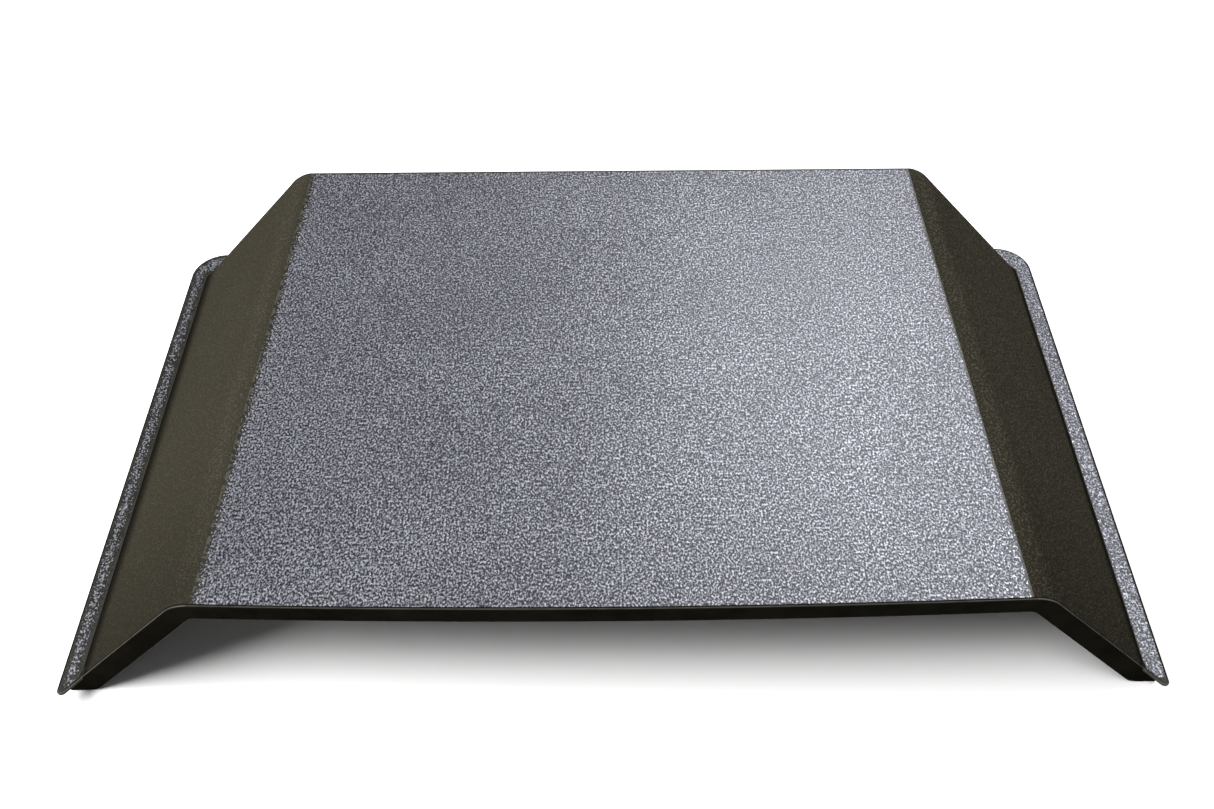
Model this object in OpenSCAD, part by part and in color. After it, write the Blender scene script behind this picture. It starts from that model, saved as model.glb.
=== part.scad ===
// Flat top griddle: a bridge-shaped cooking surface of folded steel sheet.
// The level deck folds down into two sloping sides that stand on a U-shaped
// foot frame. A narrow lip follows the front edge and a panel closes the back.
// +X is to the right, +Y to the rear, +Z up, and z = 0 is the counter.

/* [Deck] */
// Width of the cooking surface at its front edge
deck_w = 400; // [300:5:600]
// Depth of the cooking surface from front edge to rear edge
deck_d = 295; // [200:5:450]
// Height of the cooking surface above the counter
deck_h = 87; // [84:1:120]
// How far the front edge bows forward in the middle
front_bow = 3.2; // [0.5:0.1:6]

/* [Sheet] */
// Thickness of every steel sheet
sheet_t = 1.5; // [1:0.1:2]
// Thickness of the baked coating
coat_t = 0.3; // [0.2:0.05:0.5]
// Outer radius of the folds between the deck and the sides
bend_r = 16; // [14:0.5:20]

/* [Sides] */
// Horizontal reach of a side, measured at the front
side_run = 65.5; // [55:0.5:80]
// Drop from the deck to the foot frame, measured at the front
foot_drop = 71.8; // [68:0.1:76]

/* [Foot frame] */
// Width of the foot frame outside each side
flange_w = 11.1; // [8:0.1:16]
// Width of the foot frame behind the rear panel
rear_flange_w = 17.5; // [12:0.5:24]
// Outer radius of the two rear corners
corner_r = 20; // [14:1:24]
// How far the two front tips stand forward of the lip
tip_reach = 8.8; // [6:0.1:12]
// Radius of the two front tips
tip_r = 2.5; // [2:0.1:3.5]

/* [Front lip] */
// Depth of the lip, square to the sheet that it follows
lip_drop = 11.8; // [9:0.1:13]
// Radius where the lip turns level at each foot
lip_foot_r = 9; // [4:0.5:12]

/* [Hidden] */
$fn = 96;

weld_leg = 1.6;                 // leg of every weld bead
edge_bare = 1.2;                // uncoated rim along the foot frame's outer edge
seam_gap = 0.8;                 // groove between the foot coating and the sides
fold_margin = 1;                // flat strip between the deck coating and each fold
ledge = 3;                      // how far the foot frame reaches in under the sheet
bow_steps = 16;                 // straight steps along the bowed front edge
fold_steps = 16;                // flat steps around each fold
far = 700;                      // longer than anything in the part
wide = 400;                     // wider than half the part

foot_x = deck_w / 2 + side_run;         // where a side meets the foot frame
outer_x = foot_x + flange_w;            // outer edge of the foot frame
rear_y = deck_d + rear_flange_w;        // rear edge, behind the front edge
front_y = (tip_reach - rear_y) / 2;     // front edge, with the part centred on y
frame_t = sheet_t + coat_t;             // foot frame with its coating
foot_z = deck_h - foot_drop;            // top of the foot frame at the front

// The foot frame falls to the rear until its rear edge is on the counter.
// The sides are flat, so the deck narrows to the rear by the taper angle.
foot_tilt = atan((foot_z - frame_t) / rear_y);
side_rise = foot_drop / side_run;
taper = atan(tan(foot_tilt) / side_rise);
fold = atan(side_rise / cos(taper));
fold_tangent = bend_r * tan(fold / 2);

deck_edge = deck_w / 2 - fold_tangent / cos(taper);     // flat deck at the front

under_sheet = coat_t + sheet_t;                         // depth of the sheet's lower face
inner_x = foot_x - under_sheet / sin(fold);             // inside of a side at the foot

// Section across one fold: all that lies deeper than d under the top surface
module side_section(d) {
    centre = [-fold_tangent, -bend_r];
    arc = [for (i = [0 : fold_steps]) let (a = fold * i / fold_steps)
           centre + (bend_r - d) * [sin(a), cos(a)]];
    polygon(concat([[-far, -d]], arc,
                   [arc[fold_steps] + wide * [cos(fold), -sin(fold)], [-far, -wide]]));
}

module fold_side(d) {
    translate([deck_w / 2, front_y, deck_h]) rotate([0, 0, taper]) rotate([90, 0, 0])
        translate([0, 0, -far / 2 - deck_d / 2]) linear_extrude(far) side_section(d);
}

// All that lies deeper than d under the folded top surface
module under_top(d) {
    intersection() {
        fold_side(d);
        mirror([1, 0, 0]) fold_side(d);
    }
}

// A skin that follows the folded top surface, from depth d0 to depth d1
module folded_skin(d0, d1) {
    difference() {
        under_top(d0);
        under_top(d1);
    }
}

// Points along the front edge, moved back by dy; the middle stretch bows forward
function bow_radius() = (pow(deck_edge, 2) + pow(front_bow, 2)) / (2 * front_bow);
function bow_at(x) = bow_radius() - front_bow - sqrt(pow(bow_radius(), 2) - x * x);
function front_edge(dy) = concat([[-outer_x, dy]],
    [for (i = [0 : bow_steps]) let (x = deck_edge * (2 * i / bow_steps - 1)) [x, bow_at(x) + dy]],
    [[outer_x, dy]]);
function reversed(list) = [for (i = [len(list) - 1 : -1 : 0]) list[i]];

// Upright wall on a plan outline given from the front edge
module on_plan(points) {
    translate([0, front_y, 0]) linear_extrude(deck_h + bend_r) polygon(points);
}

module front_strip(from, to) {
    on_plan(concat(front_edge(from), reversed(front_edge(to))));
}

module rear_strip(from, to) {
    on_plan([[-outer_x, deck_d - to], [outer_x, deck_d - to],
             [outer_x, deck_d - from], [-outer_x, deck_d - from]]);
}

module behind_lip() {
    on_plan(concat(front_edge(sheet_t), [[outer_x, deck_d], [-outer_x, deck_d]]));
}

// The flat part of the deck, between the two folds
module deck_zone() {
    half_front = deck_edge - fold_margin;
    half_rear = half_front - 2 * deck_d * tan(taper);
    half_ahead = half_front + deck_d * tan(taper);
    on_plan([[-half_ahead, -deck_d], [half_ahead, -deck_d],
             [half_rear, 2 * deck_d], [-half_rear, 2 * deck_d]]);
}

// Plane of the foot frame: z = 0 is the top of its coating
module on_foot_plane() {
    translate([0, front_y, foot_z]) rotate([-foot_tilt, 0, 0]) children();
}

module above_foot_frame() {
    on_foot_plane() translate([-wide, -wide, -coat_t]) cube([2 * wide, far, wide]);
}

// Outer shape of the foot frame, drawn in by inset
module foot_outline(inset) {
    tip = [outer_x - tip_r, tip_r - tip_reach];
    start = [foot_x, 0];
    reach = norm(tip - start);
    along = atan2(tip[1] - start[1], tip[0] - start[0]) - asin(tip_r / reach);
    inward = [-sin(along), cos(along)];
    for (side = [0, 1]) mirror([side, 0]) {
        translate(tip) circle(tip_r - inset);
        translate([outer_x - corner_r, rear_y - corner_r]) circle(corner_r - inset);
        polygon([[0, 0], start + inset * inward, tip - (tip_r - inset) * inward, tip,
                 [outer_x - inset, tip[1]], [outer_x - inset, rear_y - corner_r],
                 [outer_x - corner_r, rear_y - inset], [0, rear_y - inset]]);
    }
}

module foot_frame_plate() {
    inside = inner_x - ledge;
    on_foot_plane() translate([0, 0, -frame_t]) linear_extrude(sheet_t) difference() {
        foot_outline(0);
        translate([-foot_x, -far]) square([2 * foot_x, far + sheet_t]);
        translate([-inside, -far]) square([2 * inside, far + deck_d - sheet_t - ledge]);
    }
}

// Rounds the lip's lower corner, where the sloping edge turns level
module lip_foot_corner() {
    slope = atan(side_rise);
    corner = [foot_x - (lip_drop / cos(fold) - foot_z) / side_rise, 0];
    leg = lip_foot_r * tan(slope / 2);
    climb = [-cos(slope), sin(slope)];
    outward = [-sin(slope), -cos(slope)];
    translate([0, front_y + 2 * sheet_t, 0]) rotate([90, 0, 0]) linear_extrude(3 * sheet_t)
        difference() {
            polygon([corner + [leg, 0], corner + [leg, -1], corner + [0, -1],
                     corner + outward, corner + leg * climb + outward, corner + leg * climb]);
            translate(corner + [leg, lip_foot_r]) circle(lip_foot_r);
        }
}

module top_sheet() {
    color("#3c3a35") intersection() {
        folded_skin(coat_t, under_sheet);
        behind_lip();
        above_foot_frame();
    }
}

module front_lip() {
    color("#191712") difference() {
        union() {
            intersection() {
                folded_skin(0, lip_drop);
                front_strip(0, sheet_t);
            }
            for (side = [0, 1]) mirror([side, 0, 0])
                translate([foot_x, front_y, 0]) cube([flange_w, sheet_t, foot_z]);
        }
        foot_frame_plate();
        on_foot_plane() translate([foot_x, -wide, -coat_t]) cube([wide, far, wide]);
        mirror([1, 0, 0]) on_foot_plane() translate([foot_x, -wide, -coat_t]) cube([wide, far, wide]);
        for (side = [0, 1]) mirror([side, 0, 0]) lip_foot_corner();
    }
}

module rear_panel() {
    color("#2b2924") intersection() {
        under_top(under_sheet);
        rear_strip(0, sheet_t);
        above_foot_frame();
    }
}

module foot_frame() {
    color("#23211d") foot_frame_plate();
}

module deck_coating() {
    color("#8f949e") intersection() {
        folded_skin(0, coat_t);
        deck_zone();
        behind_lip();
    }
}

module side_coating() {
    intersection() {
        difference() {
            folded_skin(0, coat_t);
            deck_zone();
        }
        behind_lip();
        above_foot_frame();
        translate([0, -wide, 0]) cube([wide, far + wide, wide]);
    }
}

module left_side_coating() {
    color("#4c483c") mirror([1, 0, 0]) side_coating();
}

module right_side_coating() {
    color("#3f3b30") side_coating();
}

module foot_coating() {
    bare_x = foot_x + seam_gap;
    color("#878c97") on_foot_plane() translate([0, 0, -coat_t]) linear_extrude(coat_t) difference() {
        foot_outline(edge_bare);
        translate([-bare_x, -far]) square([2 * bare_x, far + deck_d + seam_gap]);
    }
}

module lip_weld() {
    color("#5b5850") intersection() {
        folded_skin(under_sheet, under_sheet + weld_leg);
        front_strip(sheet_t, sheet_t + weld_leg);
        above_foot_frame();
    }
}

module rear_panel_weld() {
    color("#5b5850") intersection() {
        folded_skin(under_sheet, under_sheet + weld_leg);
        rear_strip(sheet_t, sheet_t + weld_leg);
        above_foot_frame();
    }
}

// Fillet in the angle between a side and the foot frame
module side_foot_weld() {
    rise = side_rise * cos(foot_tilt);
    slope = atan(rise);
    start = sheet_t + weld_leg;
    run = deck_d - 2 * sheet_t - 2 * weld_leg;
    on_foot_plane() translate([inner_x, start + run, -coat_t]) rotate([90, 0, 0])
        linear_extrude(run) polygon([[0, 0], weld_leg * [-cos(slope), sin(slope)], [-weld_leg, 0]]);
}

module left_foot_weld() {
    color("#5b5850") mirror([1, 0, 0]) side_foot_weld();
}

module right_foot_weld() {
    color("#5b5850") side_foot_weld();
}

module rear_foot_weld() {
    half = inner_x - 3 * weld_leg;
    color("#5b5850") on_foot_plane() translate([-half, deck_d - sheet_t, -coat_t])
        rotate([90, 0, 90]) linear_extrude(2 * half) polygon([[0, 0], [0, weld_leg], [-weld_leg, 0]]);
}

top_sheet();
front_lip();
rear_panel();
foot_frame();
deck_coating();
left_side_coating();
right_side_coating();
foot_coating();
lip_weld();
rear_panel_weld();
left_foot_weld();
right_foot_weld();
rear_foot_weld();
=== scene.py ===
"""Looks for the flat top griddle. Each shown piece stands for one CAD node, in its place and size.

Lengths are in metres and angles in radians, unless a name says otherwise. "back" is a distance
behind the straight line that joins the two ends of the bowed front edge. "depth" is a distance
under the top surface, square to it.
"""
import math

import bmesh
import bpy
from mathutils import Matrix, Vector, noise


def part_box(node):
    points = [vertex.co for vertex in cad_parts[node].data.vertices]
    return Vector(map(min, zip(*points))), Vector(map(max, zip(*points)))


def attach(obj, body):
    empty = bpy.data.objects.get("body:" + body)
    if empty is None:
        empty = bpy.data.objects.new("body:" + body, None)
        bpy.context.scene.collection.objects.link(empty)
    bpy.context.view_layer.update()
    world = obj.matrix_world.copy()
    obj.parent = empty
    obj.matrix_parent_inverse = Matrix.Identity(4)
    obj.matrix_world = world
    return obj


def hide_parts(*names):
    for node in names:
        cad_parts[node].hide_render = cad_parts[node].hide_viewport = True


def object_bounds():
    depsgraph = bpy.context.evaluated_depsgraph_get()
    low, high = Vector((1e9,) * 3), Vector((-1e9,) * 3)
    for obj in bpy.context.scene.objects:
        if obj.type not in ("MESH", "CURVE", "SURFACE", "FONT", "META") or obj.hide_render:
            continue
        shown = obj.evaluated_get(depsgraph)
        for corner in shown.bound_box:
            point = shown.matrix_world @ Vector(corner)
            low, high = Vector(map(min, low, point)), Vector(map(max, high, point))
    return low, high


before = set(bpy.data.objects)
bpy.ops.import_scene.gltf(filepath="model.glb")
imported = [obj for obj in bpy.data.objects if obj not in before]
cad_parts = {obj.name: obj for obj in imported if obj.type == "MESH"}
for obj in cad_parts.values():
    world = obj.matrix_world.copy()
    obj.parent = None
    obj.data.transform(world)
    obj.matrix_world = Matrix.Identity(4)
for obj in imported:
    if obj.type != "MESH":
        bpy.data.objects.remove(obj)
cad_low, cad_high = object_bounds()

# ---------------------------------------------------------------- dimensions
MM = 0.001
DECK_HALF = 200 * MM            # half the deck's width at its front edge
DECK_DEPTH = 295 * MM
BOW = 3.2 * MM                  # how far the front edge bows forward
SHEET = 1.5 * MM
COAT = 0.3 * MM
BEND_R = 16 * MM                # outer radius of the folds
SIDE_RUN = 65.5 * MM            # horizontal reach of a side, at the front
FOOT_DROP = 71.8 * MM           # from the deck down to the foot frame, at the front
LIP_DROP = 11.8 * MM
LIP_FOOT_R = 9 * MM             # where the lip turns level at each foot
LIP_END_GAP = 0.4 * MM          # the lip ends just inside the foot frame's edge
TIP_R = 2.5 * MM                # rounding of the foot frame's front tips
CORNER_R = 20 * MM              # and of its rear corners
EDGE_BARE = 1.2 * MM            # uncoated rim of the foot frame
SEAM_GAP = 0.8 * MM             # groove between foot coating and side
LEDGE = 3 * MM                  # foot frame under the sheet
WELD = 1.6 * MM                 # leg of every weld bead
FOLD_MARGIN = 1 * MM            # flat strip between the deck coating and each fold
REAR_EDGE_R = 1.2 * MM          # rounding from the deck over to the rear panel
REAR_CORNER_R = 6 * MM          # rounding from a side over to the rear panel
LEFT_SHADE = 11 * MM            # height of the painted shade along the left side's foot
RIGHT_SHADE = 4 * MM            # and along the right side's

DECK_TOP = cad_high.z
OUTER = cad_high.x
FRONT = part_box("front_lip")[0].y + BOW
REAR = cad_high.y
TIP_FRONT = cad_low.y
FOOT_X = DECK_HALF + SIDE_RUN
FOOT_TOP = DECK_TOP - FOOT_DROP
UNDER = COAT + SHEET

FOOT_TILT = math.atan((FOOT_TOP - UNDER) / (REAR - FRONT))
RISE = FOOT_DROP / SIDE_RUN
TAPER = math.atan(math.tan(FOOT_TILT) / RISE)
FOLD = math.atan(RISE / math.cos(TAPER))
TANGENT = BEND_R * math.tan(FOLD / 2)
FLAT_HALF = DECK_HALF - TANGENT / math.cos(TAPER)
INNER_X = FOOT_X - UNDER / math.sin(FOLD)


# ---------------------------------------------------------------- shape of the folded sheet
def bow_back(x):
    """How far back the front edge is at x: 0 at the folds and beyond, negative where it bows forward."""
    if abs(x) >= FLAT_HALF:
        return 0.0
    radius = (FLAT_HALF ** 2 + BOW ** 2) / (2 * BOW)
    return radius - BOW - math.sqrt(radius ** 2 - x * x)


def section(station, depth):
    """(out, up) of a point on the section across a fold, from the corner of its two planes.

    A station is ("flat", distance inward), ("arc", angle turned) or ("slope", distance down).
    """
    kind, t = station
    r = BEND_R - depth
    if kind == "flat":
        return -TANGENT - t, -depth
    angle = t if kind == "arc" else FOLD
    out, up = -TANGENT + r * math.sin(angle), -BEND_R + r * math.cos(angle)
    if kind == "slope":
        out, up = out + t * math.cos(FOLD), up - t * math.sin(FOLD)
    return out, up


def on_sheet(station, back, depth, side=1):
    """A point of the folded sheet, depth under its top surface."""
    out, up = section(station, depth)
    x = DECK_HALF - back * math.tan(TAPER) + out / math.cos(TAPER)
    return Vector((side * x, FRONT + back, DECK_TOP + up))


def foot_top(back, drop):
    """Height of the foot plane, drop under the top of its coating."""
    return FOOT_TOP - back * math.tan(FOOT_TILT) - drop / math.cos(FOOT_TILT)


def slope_end(back, depth, drop=COAT):
    """How far down the slope the sheet meets the foot frame."""
    leave = section(("slope", 0), depth)[1]
    return (DECK_TOP + leave - foot_top(back, drop)) / math.sin(FOLD)


def steps(a, b, n):
    """n + 1 evenly spaced numbers from a to b."""
    return [a + (b - a) * i / n for i in range(n + 1)]


def across(back, depth, n_flat, n_arc, n_slope, flat_from=0.0, drop=COAT):
    """Stations from the deck's flat part, round the fold and down to the foot frame."""
    flat = [("flat", t) for t in steps(flat_from, 0, n_flat)[:-1]] if flat_from > 0 else []
    arc = [("arc", a) for a in steps(0, FOLD, n_arc)]
    slope = [("slope", t) for t in steps(0, slope_end(back, depth, drop), n_slope)[1:]]
    return flat + arc + slope


# ---------------------------------------------------------------- mesh helpers
def new_piece(name, mesh, material, node, sharp=35):
    """A shown piece in place of a CAD node; edges sharper than this many degrees stay sharp."""
    mesh.update()
    piece = bpy.data.objects.new(name, mesh)
    bpy.context.scene.collection.objects.link(piece)
    mesh.materials.append(material)
    for polygon in mesh.polygons:
        polygon.use_smooth = True
    mesh.set_sharp_from_angle(angle=math.radians(sharp))
    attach(piece, "root")
    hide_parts(node)
    return piece


def tidy_mesh(name, points, faces, merge=1e-7):
    """A mesh with doubled points merged, empty faces gone and every face turned outward."""
    mesh = bpy.data.meshes.new(name)
    mesh.from_pydata([tuple(p) for p in points], [], faces)
    b = bmesh.new()
    b.from_mesh(mesh)
    bmesh.ops.remove_doubles(b, verts=b.verts, dist=merge)
    bmesh.ops.dissolve_degenerate(b, edges=b.edges, dist=merge)
    bmesh.ops.recalc_face_normals(b, faces=b.faces)
    b.to_mesh(mesh)
    b.free()
    return mesh


def loft(rings):
    """Points and faces of a solid that runs through rings of equal length, capped at both ends."""
    n = len(rings[0])
    points = [p for ring in rings for p in ring]
    faces = []
    for i in range(len(rings) - 1):
        for j in range(n):
            k = (j + 1) % n
            faces.append((i * n + j, i * n + k, (i + 1) * n + k, (i + 1) * n + j))
    faces.append(tuple(range(n)))
    faces.append(tuple(reversed(range((len(rings) - 1) * n, len(rings) * n))))
    return points, faces


def shell(top, bottom):
    """Points and faces of a thin solid between two grids of the same size."""
    rows, columns = len(top), len(top[0])
    points = [p for row in top for p in row] + [p for row in bottom for p in row]

    def at(i, j, k):
        """Index of a point: row, column, and 0 for the top grid or 1 for the bottom one."""
        return k * rows * columns + i * columns + j

    faces = []
    for i in range(rows - 1):
        for j in range(columns - 1):
            faces.append((at(i, j, 0), at(i, j + 1, 0), at(i + 1, j + 1, 0), at(i + 1, j, 0)))
            faces.append((at(i, j, 1), at(i + 1, j, 1), at(i + 1, j + 1, 1), at(i, j + 1, 1)))
    for i in range(rows - 1):
        for j in (0, columns - 1):
            faces.append((at(i, j, 0), at(i + 1, j, 0), at(i + 1, j, 1), at(i, j, 1)))
    for j in range(columns - 1):
        for i in (0, rows - 1):
            faces.append((at(i, j, 0), at(i, j + 1, 0), at(i, j + 1, 1), at(i, j, 1)))
    return points, faces


def set_attribute(piece, name, rule):
    """A number at each vertex, which materials read by name."""
    attribute = piece.data.attributes.new(name, "FLOAT", "POINT")
    attribute.data.foreach_set("value", [rule(v.co) for v in piece.data.vertices])


# ---------------------------------------------------------------- node helpers
class Nodes:
    """Builds one procedural material."""

    def __init__(self, name):
        self.material = bpy.data.materials.new(name)
        self.material.use_nodes = True
        self.tree = self.material.node_tree
        self.shader = self.tree.nodes["Principled BSDF"]
        self.coordinates = self.tree.nodes.new("ShaderNodeTexCoord").outputs["Object"]

    def set(self, **sockets):
        for name, value in sockets.items():
            self.shader.inputs[name.replace("_", " ")].default_value = value

    def link(self, output, socket):
        self.tree.links.new(output, self.shader.inputs[socket])

    def noise(self, scale, detail=2.0, roughness=0.5, distortion=0.0, stretch=None):
        node = self.tree.nodes.new("ShaderNodeTexNoise")
        node.inputs["Scale"].default_value = scale
        node.inputs["Detail"].default_value = detail
        node.inputs["Roughness"].default_value = roughness
        node.inputs["Distortion"].default_value = distortion
        where = self.coordinates
        if stretch:
            scaled = self.tree.nodes.new("ShaderNodeVectorMath")
            scaled.operation = "MULTIPLY"
            scaled.inputs[1].default_value = stretch
            self.tree.links.new(where, scaled.inputs[0])
            where = scaled.outputs[0]
        self.tree.links.new(where, node.inputs["Vector"])
        return node.outputs["Fac"]

    def cells(self, scale):
        """Distance to the nearest of many scattered points."""
        node = self.tree.nodes.new("ShaderNodeTexVoronoi")
        node.inputs["Scale"].default_value = scale
        self.tree.links.new(self.coordinates, node.inputs["Vector"])
        return node.outputs["Distance"]

    def fit(self, value, low, high, to_low=0.0, to_high=1.0, smooth=False):
        """The value mapped from low..high to to_low..to_high, and clamped there."""
        node = self.tree.nodes.new("ShaderNodeMapRange")
        node.interpolation_type = "SMOOTHSTEP" if smooth else "LINEAR"
        self.tree.links.new(value, node.inputs["Value"])
        sockets = ("From Min", "From Max", "To Min", "To Max")
        for socket, number in zip(sockets, (low, high, to_low, to_high)):
            node.inputs[socket].default_value = number
        return node.outputs["Result"]

    def math(self, operation, a, b):
        node = self.tree.nodes.new("ShaderNodeMath")
        node.operation = operation
        for socket, value in zip(node.inputs, (a, b)):
            if isinstance(value, (int, float)):
                socket.default_value = value
            else:
                self.tree.links.new(value, socket)
        return node.outputs[0]

    def mix(self, factor, a, b):
        """Colour a where factor is 0, colour b where it is 1."""
        node = self.tree.nodes.new("ShaderNodeMix")
        node.data_type = "RGBA"
        node.clamp_factor = True
        self.tree.links.new(factor, node.inputs[0])
        for socket, value in zip((node.inputs[6], node.inputs[7]), (a, b)):
            if isinstance(value, tuple):
                socket.default_value = (*value, 1)
            else:
                self.tree.links.new(value, socket)
        return node.outputs[2]

    def bump(self, height, distance, strength=1.0, after=None):
        node = self.tree.nodes.new("ShaderNodeBump")
        node.inputs["Strength"].default_value = strength
        node.inputs["Distance"].default_value = distance
        self.tree.links.new(height, node.inputs["Height"])
        if after is not None:
            self.tree.links.new(after, node.inputs["Normal"])
        return node.outputs["Normal"]

    def attribute(self, name):
        node = self.tree.nodes.new("ShaderNodeAttribute")
        node.attribute_name = name
        return node.outputs["Fac"]


# ---------------------------------------------------------------- materials
# Noise scales are per metre. The first is for the stippled coating, whose grains come out about
# 1.7 mm apart on the deck, and the second for the fine grain of the smooth coating.
GRAIN_SCALE = 1080
FINE_SCALE = 1000

SMOOTH = (0.0340, 0.0310, 0.0225)
# Darker tone of the smooth coating, used for its mottling. As the right side's colour it is painted shade.
SMOOTH_SHADE = (0.0290, 0.0260, 0.0178)
# Near-black painted shade for the angles where a coating meets the foot frame.
PAINTED_CORNER_SHADE = (0.003, 0.0028, 0.0020)
BARE_FOOT = (0.009, 0.0082, 0.0058)
PIT = (0.0015, 0.0015, 0.006)
GRAIN_DULL = (0.240, 0.245, 0.266)
GRAIN_BRIGHT = (0.290, 0.296, 0.321)
LIP_DARK = (0.0040, 0.0036, 0.0025)
LIP_LIGHT = (0.0080, 0.0072, 0.0050)
# Light brown of the crest: partly wear, partly painted highlight.
LIP_WEAR_AND_HIGHLIGHT = (0.095, 0.088, 0.076)
PALE_SPECK = (0.45, 0.43, 0.38)
DARK_PIT = (0.004, 0.004, 0.003)


def stipple_enamel(name, bare):
    """Stippled coating: glinting grains on a near-black ground.

    The grains thin out where the attribute "rim" falls to 0, and end there in a ragged bare edge.
    """
    n = Nodes(name)
    grain = n.noise(GRAIN_SCALE, detail=1.0, roughness=0.5, distortion=0.2, stretch=(1, 0.76, 1))
    level = n.fit(grain, 0.36, 0.70)
    patches = n.fit(n.noise(14, detail=2.0), 0.3, 0.7)
    rim = n.attribute("rim")
    ragged = n.math("ADD", rim, n.fit(n.noise(480, detail=1.0), 0.3, 0.7, -0.4, 0.4))
    reached = n.fit(ragged, 0.10, 0.22)
    coated = n.fit(n.math("ADD", rim, n.fit(level, 0, 1, -0.35, 0.4)), 0.45, 0.78)
    peak = n.math("MULTIPLY", n.math("POWER", level, 1.8), coated)
    pale = n.mix(patches, GRAIN_DULL, GRAIN_BRIGHT)
    ground = n.mix(coated, BARE_FOOT, PIT)
    n.link(n.mix(reached, bare, n.mix(peak, ground, pale)), "Base Color")
    n.link(n.math("MULTIPLY", peak, 0.50), "Metallic")
    n.link(n.math("ADD", n.fit(peak, 0, 1, 0.38, 0.31), n.fit(reached, 0, 1, 0.22, 0)), "Roughness")
    n.link(n.bump(peak, 0.00006, 1.0), "Normal")
    n.set(Specular_IOR_Level=0.28)
    return n.material


def smooth_enamel(name, colour, dark_colour, spots=None, contrast=1.0):
    """Smooth matte coating, mottled, with a fine orange peel, and painted shade where "corner" is 1.

    Spots are scattered dots: how close together, how large, and their colour. Contrast is the
    strength of the fine grain.
    """
    n = Nodes(name)
    mottling = n.noise(22, detail=4.0, roughness=0.6)
    colour_out = n.mix(n.fit(mottling, 0.35, 0.7), dark_colour, colour)
    fine = n.noise(FINE_SCALE, detail=1.0)
    shade = 1 - 0.28 * contrast
    shine = 1 + 1.1 * contrast
    grain_dark = tuple(c * shade for c in dark_colour)
    grain_light = (shine * colour[0], shine * colour[1], 1.14 * shine * colour[2])
    colour_out = n.mix(n.fit(fine, 0.34, 0.70), grain_dark, colour_out)
    colour_out = n.mix(n.fit(fine, 0.52, 0.74), colour_out, grain_light)
    if spots is not None:
        scale, size, spot_colour = spots
        spotted = n.math("LESS_THAN", n.cells(scale), size)
        colour_out = n.mix(spotted, colour_out, spot_colour)
    # Painted shade: where the "corner" attribute rises, the colour darkens towards near black.
    corner = n.fit(n.attribute("corner"), 0.0, 1.0, 0.0, 0.8, smooth=True)
    n.link(n.mix(corner, colour_out, PAINTED_CORNER_SHADE), "Base Color")
    n.link(n.fit(mottling, 0.3, 0.7, 0.66, 0.56), "Roughness")
    peel = n.bump(n.noise(900, detail=2.0), 0.00006, 0.6)
    n.link(n.bump(n.noise(60, detail=1.0), 0.0004, 0.35, after=peel), "Normal")
    n.set(Specular_IOR_Level=0.0)
    return n.material


def lip_enamel(name):
    """Near-black coating, worn thin and brownish along the crest, with a painted highlight there, where
    "crest" is 1.
    """
    n = Nodes(name)
    streaks = n.noise(45, detail=5.0, roughness=0.65)
    body = n.mix(n.fit(streaks, 0.35, 0.7), LIP_DARK, LIP_LIGHT)
    crest_breakup = n.fit(n.noise(160, detail=3.0), 0.25, 0.6, 0.45, 1.0)
    wear_and_highlight = n.math("MULTIPLY", n.attribute("crest"), crest_breakup)
    # Painted highlight, partly wear: the crest's colour turns light brown.
    n.link(n.mix(wear_and_highlight, body, LIP_WEAR_AND_HIGHLIGHT), "Base Color")
    n.link(n.fit(wear_and_highlight, 0, 1, 0.55, 0.38), "Roughness")
    n.link(n.bump(n.noise(1100, detail=2.0), 0.00005, 0.5), "Normal")
    n.set(Specular_IOR_Level=0.0)
    return n.material


def underside_enamel(name):
    """Thin black coating over steel, with heat marks in wide soft patches."""
    n = Nodes(name)
    heat = n.noise(9, detail=4.0, roughness=0.55)
    fine = n.noise(700, detail=2.0)
    base = n.mix(n.fit(heat, 0.35, 0.65), (0.020, 0.019, 0.018), (0.045, 0.038, 0.030))
    n.link(n.mix(n.fit(fine, 0.4, 0.7, 0, 0.5), base, (0.062, 0.056, 0.048)), "Base Color")
    n.link(n.fit(heat, 0.3, 0.7, 0.5, 0.7), "Roughness")
    n.link(n.bump(fine, 0.00006, 0.6), "Normal")
    n.set(Specular_IOR_Level=0.35)
    return n.material


def weld_metal(name):
    """Rippled weld metal with straw and blue heat colours."""
    n = Nodes(name)
    tint = n.noise(120, detail=3.0)
    base = n.mix(n.fit(tint, 0.35, 0.65), (0.24, 0.19, 0.13), (0.12, 0.13, 0.17))
    n.link(n.mix(n.fit(n.noise(1500), 0.4, 0.7, 0, 0.6), base, (0.30, 0.29, 0.27)), "Base Color")
    n.link(n.fit(tint, 0.3, 0.7, 0.32, 0.5), "Roughness")
    n.link(n.bump(n.noise(1800, detail=2.0), 0.00008, 0.7), "Normal")
    n.set(Metallic=0.85)
    return n.material


deck_look = stipple_enamel("stipple_deck", SMOOTH_SHADE)
foot_look = stipple_enamel("stipple_foot", BARE_FOOT)
left_look = smooth_enamel("smooth_left", SMOOTH, SMOOTH_SHADE, (24, 0.012, PALE_SPECK), contrast=0.45)
# The right side has the same coating as the left, painted darker: painted shade.
right_look = smooth_enamel("smooth_right_painted_shade", SMOOTH_SHADE, tuple(0.8 * c for c in SMOOTH_SHADE),
                           (42, 0.043, DARK_PIT))
rear_look = smooth_enamel("smooth_rear", SMOOTH, SMOOTH_SHADE)
lip_look = lip_enamel("lip_black")
under_look = underside_enamel("underside_black")
weld_look = weld_metal("weld_bead")


# ---------------------------------------------------------------- deck and sides
N_BACK = 72                     # rows from front to rear
N_ARC = 28                      # columns round a fold
N_SLOPE = 36                    # columns down a side


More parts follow.
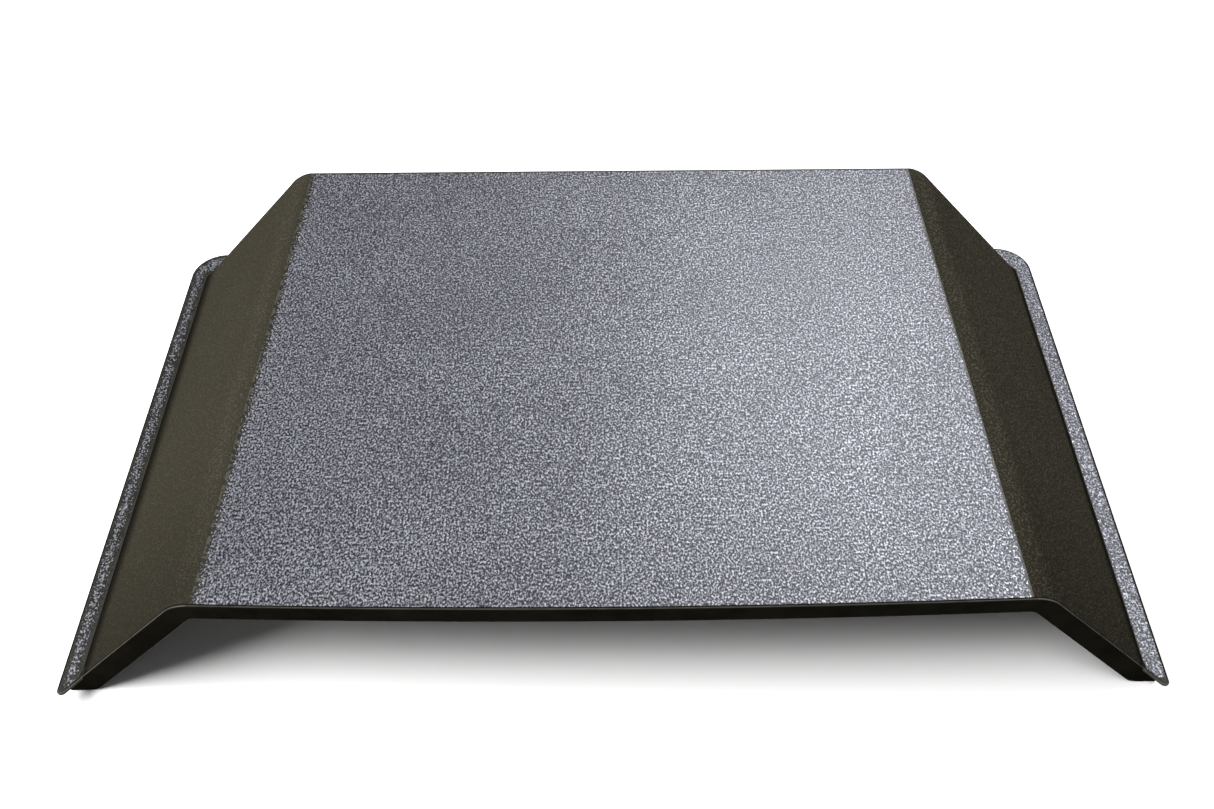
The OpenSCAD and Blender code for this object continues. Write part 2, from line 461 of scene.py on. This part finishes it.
def rear_radius(station):
    """Rounding over to the rear panel: tight on the deck, growing round the fold to the sides' radius."""
    kind, t = station
    share = {"flat": 0.0, "arc": t / FOLD, "slope": 1.0}[kind]
    return REAR_EDGE_R + (REAR_CORNER_R - REAR_EDGE_R) * share


def deck_edge_flat(back):
    """Where the deck coating ends, on the flat just inside the fold."""
    return FLAT_HALF - FOLD_MARGIN - back * math.tan(TAPER)


def ripple(x, y, size, amount):
    """A small smooth unevenness of the sheet, from 0 to amount."""
    wave = 1.6 * noise.noise(Vector((x / size, y / size, 0.7)))
    return amount * (0.5 + 0.5 * max(-1.0, min(1.0, wave)))


# columns across the deck, as shares of its half width, closer together in the fading edge
EDGE_SHARES = [-1, -0.993, -0.986, -0.979, -0.972] + steps(-0.96, 0.96, 90) + [0.972, 0.979, 0.986, 0.993, 1]


REAR_FADE = 1.6 * MM            # the stipple thins out over this width at the rear
LEFT_FADE = 5.0 * MM            # along the left fold
RIGHT_FADE = 2.2 * MM           # and along the right one


def deck_coating():
    """The stippled coating; its first row follows the bowed lip, the others are straight."""
    end = DECK_DEPTH - REAR_EDGE_R
    top, bottom = [], []
    for back in [None] + steps(4 * MM, end - REAR_FADE, N_BACK) + [end - REAR_FADE / 2, end]:
        row_top, row_bottom = [], []
        for share in EDGE_SHARES:
            x = share * deck_edge_flat(SHEET if back is None else back)
            y = bow_back(x) + SHEET if back is None else back
            sag = ripple(x, y, 0.09, 0.12 * MM)
            row_top.append(Vector((x, FRONT + y, DECK_TOP - sag)))
            row_bottom.append(Vector((x, FRONT + y, DECK_TOP - COAT)))
        top.append(row_top)
        bottom.append(row_bottom)
    piece = new_piece("griddle_deck", tidy_mesh("griddle_deck", *shell(top, bottom)), deck_look,
                      "deck_coating")

    def rim(co):
        """0 at the coating's edges, rising over a wider band on the left than elsewhere."""
        back = co.y - FRONT
        from_side = (deck_edge_flat(back) - abs(co.x)) / (LEFT_FADE if co.x < 0 else RIGHT_FADE)
        from_rear = (end - back) / REAR_FADE
        return min(1.0, max(0.0, min(from_side, from_rear)))

    set_attribute(piece, "rim", rim)


def side_coating(side, name, node, look, painted_shade_height):
    """The smooth coating of one side, its fold and the narrow flat strip beside the deck coating."""
    margin = FOLD_MARGIN / math.cos(TAPER)
    top, bottom = [], []
    for share in steps(0, 1, N_BACK):
        row_top, row_bottom = [], []
        nominal = share * DECK_DEPTH
        for kind, t in across(nominal, 0, 2, N_ARC, N_SLOPE, flat_from=margin):
            end = DECK_DEPTH - rear_radius((kind, t))
            back = SHEET + share * (end - SHEET)
            if kind == "slope":
                t = t / slope_end(nominal, 0) * slope_end(back, 0)
            sag = ripple(FOOT_X + t, back, 0.07, 0.1 * MM) if kind == "slope" else 0.0
            row_top.append(on_sheet((kind, t), back, sag, side))
            if kind == "slope":
                t = t / slope_end(back, 0) * slope_end(back, COAT)
            row_bottom.append(on_sheet((kind, t), back, COAT, side))
        top.append(row_top)
        bottom.append(row_bottom)
    piece = new_piece(name, tidy_mesh(name, *shell(top, bottom)), look, node)

    def corner(co):
        """Painted shade: 1 in the angle with the foot frame, less toward the lip and beside the deck."""
        back = co.y - FRONT
        from_deck = abs(co.x) - FLAT_HALF + back * math.tan(TAPER)
        return max(0.0, 1.0 - (co.z - foot_top(back, 0)) / painted_shade_height, 0.5 - back / (260 * MM),
                   0.34 - from_deck / (30 * MM))

    set_attribute(piece, "corner", corner)


def mirrored_row(make):
    """Left half reversed, then right half, of a row of points made for one side."""
    return list(reversed(make(-1))) + make(1)


def top_sheet():
    """The folded steel under the coatings."""
    def sheet_row(share, depth):
        def half(side):
            row = []
            for kind, t in across(0, depth, 6, 20, 10, flat_from=FLAT_HALF * 0.98):
                end = DECK_DEPTH - rear_radius((kind, t))
                back = SHEET + share * (end - SHEET)
                if kind == "slope":
                    t = t / slope_end(0, depth) * slope_end(back, depth)
                if kind == "flat":
                    t = t * (1 - back * math.tan(TAPER) / FLAT_HALF)
                row.append(on_sheet((kind, t), back, depth, side))
            return row
        return mirrored_row(half)

    shares = steps(0, 1, 24)
    top = [sheet_row(share, COAT) for share in shares]
    bottom = [sheet_row(share, UNDER) for share in shares]
    mesh = tidy_mesh("folded_sheet", *shell(top, bottom))
    new_piece("folded_sheet", mesh, under_look, "top_sheet")


def rear_panel():
    """The rounding behind deck and sides, and the upright panel that it runs into."""
    outer_rows, inner_rows = [], []
    flat = FLAT_HALF - DECK_DEPTH * math.tan(TAPER)
    stations = across(DECK_DEPTH, 0, 10, N_ARC, N_SLOPE, flat_from=0.97 * flat)
    full = slope_end(DECK_DEPTH, 0)

    def edge_row(angle, skin):
        """One row round the outline at this angle of the rounding; skin is 0 outside and UNDER inside."""
        def half(side):
            row = []
            for kind, t in stations:
                r = rear_radius((kind, t))
                back = DECK_DEPTH - r + (r - skin) * math.sin(angle)
                depth = r - (r - skin) * math.cos(angle) if r > skin else skin
                if kind == "slope":
                    t = t / full * slope_end(back, depth)
                row.append(on_sheet((kind, t), back, depth, side))
            return row
        return mirrored_row(half)

    for angle in steps(0, math.pi / 2, 8):
        outer_rows.append(edge_row(angle, 0.0))
        inner_rows.append(edge_row(angle, UNDER))
    # the upright part: down from the rounding to the foot frame
    for rows, skin in ((outer_rows, 0.0), (inner_rows, UNDER)):
        rim = rows[-1]
        for share in steps(0, 1, 24)[1:]:
            row = []
            for p in rim:
                foot = foot_top(p.y - FRONT, COAT)
                row.append(Vector((p.x, p.y, p.z + (foot - p.z) * share)))
            rows.append(row)
    mesh = tidy_mesh("back_panel", *shell(outer_rows, inner_rows))
    piece = new_piece("back_panel", mesh, rear_look, "rear_panel", sharp=50)

    def corner(co):
        """Painted shade: 1 in the angle with the foot frame; its height runs from one side's to the other's.
        """
        share = 0.5 + 0.5 * co.x / FOOT_X
        height = LEFT_SHADE + (RIGHT_SHADE - LEFT_SHADE) * share
        return max(0.0, 1.0 - (co.z - foot_top(co.y - FRONT, 0)) / height)

    set_attribute(piece, "corner", corner)


# ---------------------------------------------------------------- lip
def lip_lines():
    """Matching points along the lip's top and bottom edges, from the middle to the right foot."""
    top, bottom = [], []
    for x in steps(0, FLAT_HALF, 24)[:-1]:
        top.append((x, DECK_TOP))
        bottom.append((x, DECK_TOP - LIP_DROP))
    for angle in steps(0, FOLD, 20):
        for line, depth in ((top, 0.0), (bottom, LIP_DROP)):
            p = on_sheet(("arc", angle), 0, depth)
            line.append((p.x, p.z))
    slope = math.atan(RISE)
    corner_x = FOOT_X - (LIP_DROP / math.cos(FOLD) - FOOT_TOP) / RISE
    leg = LIP_FOOT_R * math.tan(slope / 2)
    bend_start = Vector((corner_x - leg * math.cos(slope), leg * math.sin(slope)))
    centre = Vector((corner_x + leg, LIP_FOOT_R))
    foot_line = [Vector(bottom[-1]).lerp(bend_start, s) for s in steps(0, 1, 12)[1:]]
    foot_line += [centre + LIP_FOOT_R * Vector((-math.sin(a), -math.cos(a)))
                  for a in steps(slope, 0, 10)[1:]]
    foot_line += [Vector((x, 0)) for x in steps(corner_x + leg, OUTER - LIP_END_GAP, 6)[1:]]
    end = on_sheet(("slope", slope_end(0, 0, UNDER)), 0, 0)
    n = len(foot_line)
    corner = round(n * 0.72)        # the top line turns level after this many of its points
    top_start = Vector(top[-1])
    top_line = [top_start.lerp(Vector((end.x, end.z)), s) for s in steps(0, 1, corner)[1:]]
    top_line += [Vector((x, end.z)) for x in steps(end.x, OUTER - LIP_END_GAP, n - corner)[1:]]
    return top + [tuple(p) for p in top_line], bottom + [tuple(p) for p in foot_line]


def lip_ring(top, bottom, side):
    """A cross-section through the lip: rounded at its crest and at its lower edge."""
    upper, lower = Vector((top[0], 0, top[1])), Vector((bottom[0], 0, bottom[1]))
    down = (lower - upper).normalized()
    length = (lower - upper).length
    r = SHEET / 2
    ring = []
    for angle in steps(0, math.pi, 8):
        ring.append((r - r * math.cos(angle), r - r * math.sin(angle)))
    for angle in steps(0, math.pi, 6):
        ring.append((r + r * math.cos(angle), length - r + r * math.sin(angle)))
    ring.append((0.0, 2.2 * r))
    points = []
    for back, along in ring:
        p = upper + down * along
        points.append(Vector((side * p.x, FRONT + bow_back(p.x) + back, p.z)))
    return points


def front_lip():
    top, bottom = lip_lines()
    pairs = list(zip(top, bottom))
    rings = [lip_ring(t, b, -1) for t, b in reversed(pairs)]
    rings += [lip_ring(t, b, 1) for t, b in pairs[1:]]
    piece = new_piece("front_rail", tidy_mesh("front_rail", *loft(rings)), lip_look,
                      "front_lip", sharp=40)
    corners = [ring[3] for ring in rings[len(pairs) - 1:]]

    def crest(co):
        """Painted highlight, partly wear: 1 along the front of the rounded top edge."""
        p = Vector((abs(co.x), co.y, co.z))
        gap = 0.01
        for a, b in zip(corners, corners[1:]):
            ab = b - a
            if ab.length_squared > 0:
                share = max(0.0, min(1.0, (p - a).dot(ab) / ab.length_squared))
                gap = min(gap, (p - a - ab * share).length)
        # The painted highlight is stronger along the slopes than along the deck.
        bright = 0.55 if abs(co.x) < FLAT_HALF else 1.0
        return bright * max(0.0, 1.0 - gap / (0.4 * MM))

    set_attribute(piece, "crest", crest)


# ---------------------------------------------------------------- foot frame
def foot_point(p, height):
    """A point of the foot plane, height above the top of its coating."""
    y = p.y * math.cos(FOOT_TILT) + height * math.sin(FOOT_TILT)
    z = height * math.cos(FOOT_TILT) - p.y * math.sin(FOOT_TILT)
    return Vector((p.x, FRONT + y, FOOT_TOP + z))


# Measured in the foot plane. The tilt carries the frame's lower face forward, so TIP_BACK allows for it.
FOOT_REAR = (REAR - FRONT) / math.cos(FOOT_TILT)
TIP_BACK = (TIP_FRONT - FRONT + UNDER * math.sin(FOOT_TILT)) / math.cos(FOOT_TILT)
TIP = Vector((OUTER - TIP_R, TIP_BACK + TIP_R))
REAR_CORNER = Vector((OUTER - CORNER_R, FOOT_REAR - CORNER_R))
BODY_CORNER = Vector((FOOT_X - REAR_CORNER_R, DECK_DEPTH - REAR_CORNER_R))


def tip_angle():
    """Direction of the slanted edge from the lip's corner to the tip."""
    run = TIP - Vector((FOOT_X, 0))
    return math.atan2(run.y, run.x) - math.asin(TIP_R / run.length)


def outer_x(y, inset):
    """The outer edge and the tip's round, inset from the metal's edge."""
    r = TIP_R - inset
    return TIP.x + (r if y >= TIP.y else math.sqrt(max(0.0, r * r - (y - TIP.y) ** 2)))


def slanted_x(y, inset):
    """The slanted front edge and the tip's round, inset from the metal's edge."""
    along, r = tip_angle(), TIP_R - inset
    inward = Vector((-math.sin(along), math.cos(along)))
    touch = TIP - r * inward
    if y > touch.y:
        start = Vector((FOOT_X, 0)) + inset * inward
        return start.x + (y - start.y) / math.tan(along)
    return TIP.x - math.sqrt(max(0.0, r * r - (y - TIP.y) ** 2))


def foot_stations(inset, inner, inner_corner, inner_r, notch=None):
    """Pairs of outer and inner points from the right tip round to the middle of the rear.

    Up to a notch (x, y), the inner edge keeps out to the notch's x.
    """
    pairs = []
    limit = notch[0] if notch else inner
    lowest = TIP.y - TIP_R + inset
    ys = [lowest + (TIP.y - lowest) * (1 - math.cos(a)) for a in steps(0, math.pi / 2, 8)]
    ys += steps(TIP.y, 0, 10)[1:]
    if notch:
        ys += [notch[1]]
    for y in ys:
        inside = max(slanted_x(y, inset), limit)
        pairs.append((Vector((outer_x(y, inset), y)), Vector((inside, y))))
    straight = steps(notch[1] if notch else 0, min(REAR_CORNER.y, inner_corner.y), 60)
    for y in straight if notch else straight[1:]:
        pairs.append((Vector((OUTER - inset, y)), Vector((inner, y))))
    for angle in steps(0, math.pi / 2, 24):
        turn = Vector((math.cos(angle), math.sin(angle)))
        pairs.append((REAR_CORNER + (CORNER_R - inset) * turn, inner_corner + inner_r * turn))
    outer_end, inner_end = pairs[-1]
    for share in steps(0, 1, 60)[1:]:
        left = 1 - share
        pairs.append((Vector((outer_end.x * left, outer_end.y)), Vector((inner_end.x * left, inner_end.y))))
    return pairs


def strip_ring(outer, inner, low, high, outer_r, inner_r, side):
    """Cross-section of the foot frame between an outer and an inner point, with rounded edges."""
    gap = inner - outer
    width = gap.length
    direction = gap / width if width > 1e-9 else Vector((-1, 0))
    outer_r, inner_r = min(outer_r, width * 0.45), min(inner_r, width * 0.45)
    flat = width - outer_r - inner_r
    line = [(0.0, low)]
    for a in steps(0, math.pi / 2, 5):
        line.append((outer_r * (1 - math.cos(a)), high - outer_r * (1 - math.sin(a))))
    for share in steps(0, 1, 10)[1:-1]:
        line.append((outer_r + flat * share, high))
    for a in steps(math.pi / 2, 0, 3):
        line.append((width - inner_r * (1 - math.cos(a)), high - inner_r * (1 - math.sin(a))))
    line.append((width, low))
    points = []
    for across_it, height in line:
        p = outer + direction * across_it
        points.append(foot_point(Vector((side * p.x, p.y)), height))
    return points


def u_strip(name, pairs, low, high, outer_r, inner_r, look, node):
    """A U-shaped plate in the foot plane, through pairs of points and their mirror images."""
    rings = [strip_ring(o, i, low, high, outer_r, inner_r, 1) for o, i in pairs]
    rings += [strip_ring(o, i, low, high, outer_r, inner_r, -1) for o, i in reversed(pairs[:-1])]
    return new_piece(name, tidy_mesh(name, *loft(rings), merge=1e-6), look, node, sharp=40)


def edge_gap(co):
    """How far a point is from the foot frame's outer edge, and from the side or rear panel."""
    x, y = abs(co.x), (co.y - FRONT) / math.cos(FOOT_TILT)
    if x > REAR_CORNER.x and y > REAR_CORNER.y:
        outside = CORNER_R - (Vector((x, y)) - REAR_CORNER).length
    elif y < TIP.y:
        outside = TIP_R - (Vector((x, y)) - TIP).length
    else:
        outside = min(OUTER - x, FOOT_REAR - y)
    if x > BODY_CORNER.x and y > BODY_CORNER.y:
        inside = (Vector((x, y)) - BODY_CORNER).length - REAR_CORNER_R
    else:
        inside = max(x - FOOT_X, y - DECK_DEPTH)
    return outside, inside


TIP_START = TIP_FRONT - FRONT       # the tips' foremost points, measured like "back"


def foot_frame():
    """The steel frame; it is notched for the lip, which stands in front of it."""
    inside = INNER_X - LEDGE
    corner = Vector((inside, DECK_DEPTH - SHEET - LEDGE))
    pairs = foot_stations(0.0, inside, corner, 0.0, notch=(FOOT_X, SHEET))
    piece = u_strip("foot_rail", pairs, -UNDER, -COAT, 1.0 * MM, 0.3 * MM,
                    lip_look, "foot_frame")
    along = tip_angle()
    away = Vector((-math.sin(along), math.cos(along)))

    def crest(co):
        """Partly wear, partly painted highlight: at the tips, and thinly along the slanted front edge."""
        x, y = abs(co.x), (co.y - FRONT) / math.cos(FOOT_TILT)
        tip = 0.6 * max(0.0, 1.0 - (y - TIP_START) / (5 * MM))
        gap = abs(Vector((x - FOOT_X, y)).dot(away) - 0.2 * MM)
        edge = 0.8 * max(0.0, 1.0 - gap / (0.7 * MM)) if y < SHEET else 0.0
        return max(tip, edge)

    set_attribute(piece, "crest", crest)


def foot_coating():
    """The stippled coating on the frame, set in from its outer edge and from the sides."""
    bare = FOOT_X + SEAM_GAP
    pairs = foot_stations(EDGE_BARE, bare, BODY_CORNER, REAR_CORNER_R + SEAM_GAP)
    piece = u_strip("foot_rail_coating", pairs, -COAT, 0.0, 0.28 * MM, 0.2 * MM,
                    foot_look, "foot_coating")

    def rim(co):
        """0 at the coating's edges and tips, rising over a wider band on the left foot; that wider dark band
        is partly painted shade.
        """
        outside, inside = edge_gap(co)
        fade = (4.2 if co.x < 0 else 0.9) * MM
        outer = (outside - EDGE_BARE) / fade
        inner = (inside - SEAM_GAP) / (1.7 * fade)
        tip = (co.y - FRONT - TIP_START - 2.5 * MM) / (5 * MM)
        return min(1.0, max(0.0, min(outer, inner, tip)))

    set_attribute(piece, "rim", rim)


# ---------------------------------------------------------------- welds
def bead_ring(place, size):
    """Cross-section of a fillet bead; place turns two leg lengths into a point."""
    ring = [place(0, 0)]
    for angle in steps(0, math.pi / 2, 6):
        a = size * math.cos(angle) ** 1.3 if angle < math.pi / 2 else 0.0
        b = size * math.sin(angle) ** 1.3 if angle > 0 else 0.0
        ring.append(place(a, b))
    return ring


def bead_size(run):
    """The bead swells and sinks once for each pool of metal."""
    pool = run / (2.1 * MM)
    uneven = noise.noise(Vector((run * 300, 0, 0)))
    return WELD * (0.86 + 0.10 * abs(math.sin(math.pi * pool)) + 0.04 * uneven)


def edge_bead(name, node, back_from, direction):
    """A bead in the angle under the sheet, along the lip or along the rear panel."""
    flat = FLAT_HALF - abs(back_from) * math.tan(TAPER)

    def half(side):
        rings, run, last = [], 0.0, None
        for station in across(back_from, UNDER, 150, 16, 60, flat_from=flat):
            here = on_sheet(station, back_from, UNDER, side)
            run += (here - last).length if last else 0.0
            last = here
            size = bead_size(run)
            shift = bow_back(here.x) if direction > 0 else 0.0

            def place(a, b):
                back = back_from + shift + direction * a
                kind, t = station
                if kind == "slope":
                    t = t / slope_end(back_from, UNDER) * slope_end(back, UNDER + b)
                return on_sheet((kind, t), back, UNDER + b, side)

            rings.append(bead_ring(place, size))
        return rings

    rings = list(reversed(half(-1))) + half(1)[1:]
    new_piece(name, tidy_mesh(name, *loft(rings)), weld_look, node, sharp=60)


def side_foot_bead(side, name, node):
    """A bead in the angle between a side and the foot frame."""
    def point(back, climb, inward):
        foot = on_sheet(("slope", slope_end(back, UNDER) - climb), back, UNDER, side)
        return foot - Vector((side * inward, 0, 0))

    rings = []
    for back in steps(SHEET + WELD, DECK_DEPTH - REAR_CORNER_R - WELD, 280):
        size = bead_size(back)
        face = 0.45 * size
        rings.append([point(back, 0, 0), point(back, size, 0), point(back, face, face),
                      point(back, 0, 0.9 * size)])
    new_piece(name, tidy_mesh(name, *loft(rings)), weld_look, node, sharp=60)


def rear_foot_bead():
    """A bead in the angle between the rear panel and the foot frame."""
    rings = []
    half = INNER_X - 3 * WELD - REAR_CORNER_R
    back = DECK_DEPTH - UNDER
    z = foot_top(back, COAT)
    for x in steps(-half, half, 500):
        size = bead_size(x + half)
        ring = []
        for a, b in ((0, 0), (size, 0), (size * 0.5, size * 0.5), (0, size)):
            ring.append(Vector((x, FRONT + back - a, z + b + a * math.tan(FOOT_TILT))))
        rings.append(ring)
    new_piece("bead_rear_foot", tidy_mesh("bead_rear_foot", *loft(rings)), weld_look,
              "rear_foot_weld", sharp=60)


deck_coating()
side_coating(-1, "left_side", "left_side_coating", left_look, LEFT_SHADE)
side_coating(1, "right_side", "right_side_coating", right_look, RIGHT_SHADE)
top_sheet()
rear_panel()
front_lip()
foot_frame()
foot_coating()
edge_bead("bead_lip", "lip_weld", SHEET, 1)
edge_bead("bead_rear_panel", "rear_panel_weld", DECK_DEPTH - UNDER, -1)
side_foot_bead(-1, "bead_left_foot", "left_foot_weld")
side_foot_bead(1, "bead_right_foot", "right_foot_weld")
rear_foot_bead()


# ---------------------------------------------------------------- stage, light and camera
def floor():
    """A wide pale floor at z = 0."""
    mesh = bpy.data.meshes.new("floor")
    half = 6.0
    corners = [(-half, -half, 0), (half, -half, 0), (half, half, 0), (-half, half, 0)]
    mesh.from_pydata(corners, [], [(0, 1, 2, 3)])
    plane = bpy.data.objects.new("floor", mesh)
    bpy.context.scene.collection.objects.link(plane)
    n = Nodes("floor_pale")
    n.link(n.mix(n.noise(3), (0.86, 0.86, 0.855), (0.88, 0.88, 0.875)), "Base Color")
    n.set(Roughness=0.9, Specular_IOR_Level=0.1)
    mesh.materials.append(n.material)


def soft_light(name, place, aim, size, power, colour):
    """A square soft box; power is in watts."""
    light = bpy.data.lights.new(name, "AREA")
    light.shape = "SQUARE"
    light.size = size
    light.energy = power
    light.color = colour
    lamp = bpy.data.objects.new(name, light)
    lamp.location = place
    lamp.rotation_euler = (Vector(aim) - Vector(place)).to_track_quat("-Z", "Y").to_euler()
    bpy.context.scene.collection.objects.link(lamp)


def surroundings(strength):
    """Even light from all round."""
    world = bpy.data.worlds.new("studio")
    world.use_nodes = True
    background = world.node_tree.nodes["Background"]
    background.inputs["Color"].default_value = (0.97, 0.98, 1.0, 1)
    background.inputs["Strength"].default_value = strength
    bpy.context.scene.world = world


def camera():
    """In front of the griddle and above it, looking down on the deck."""
    data = bpy.data.cameras.new("camera")
    data.sensor_width = 36.0
    data.lens = 35.41
    data.shift_x = -0.00866
    data.clip_start = 0.01
    data.clip_end = 50
    eye = bpy.data.objects.new("camera", data)
    tilt = Matrix.Rotation(math.radians(38.13), 4, "X")
    roll = Matrix.Rotation(math.radians(-0.47), 4, "Z")
    turn = tilt @ roll
    eye.matrix_world = Matrix.Translation((0.0034, -0.4150, 0.5679)) @ turn
    bpy.context.scene.collection.objects.link(eye)
    bpy.context.scene.camera = eye


COOL_WHITE = (0.93, 0.95, 1.0)
WHITE = (1, 1, 1)

floor()
soft_light("rear", (0.50, 1.40, 1.80), (0.05, 0.0, 0.05), 0.8, 35, COOL_WHITE)
soft_light("right", (1.00, 0.70, 1.75), (0.05, 0.0, 0.05), 0.8, 21, COOL_WHITE)
soft_light("top", (-0.90, -0.41, 1.75), (0, 0, 0.05), 1.1, 70, WHITE)
surroundings(0.17)
camera()
bpy.context.scene.view_settings.view_transform = "Standard"
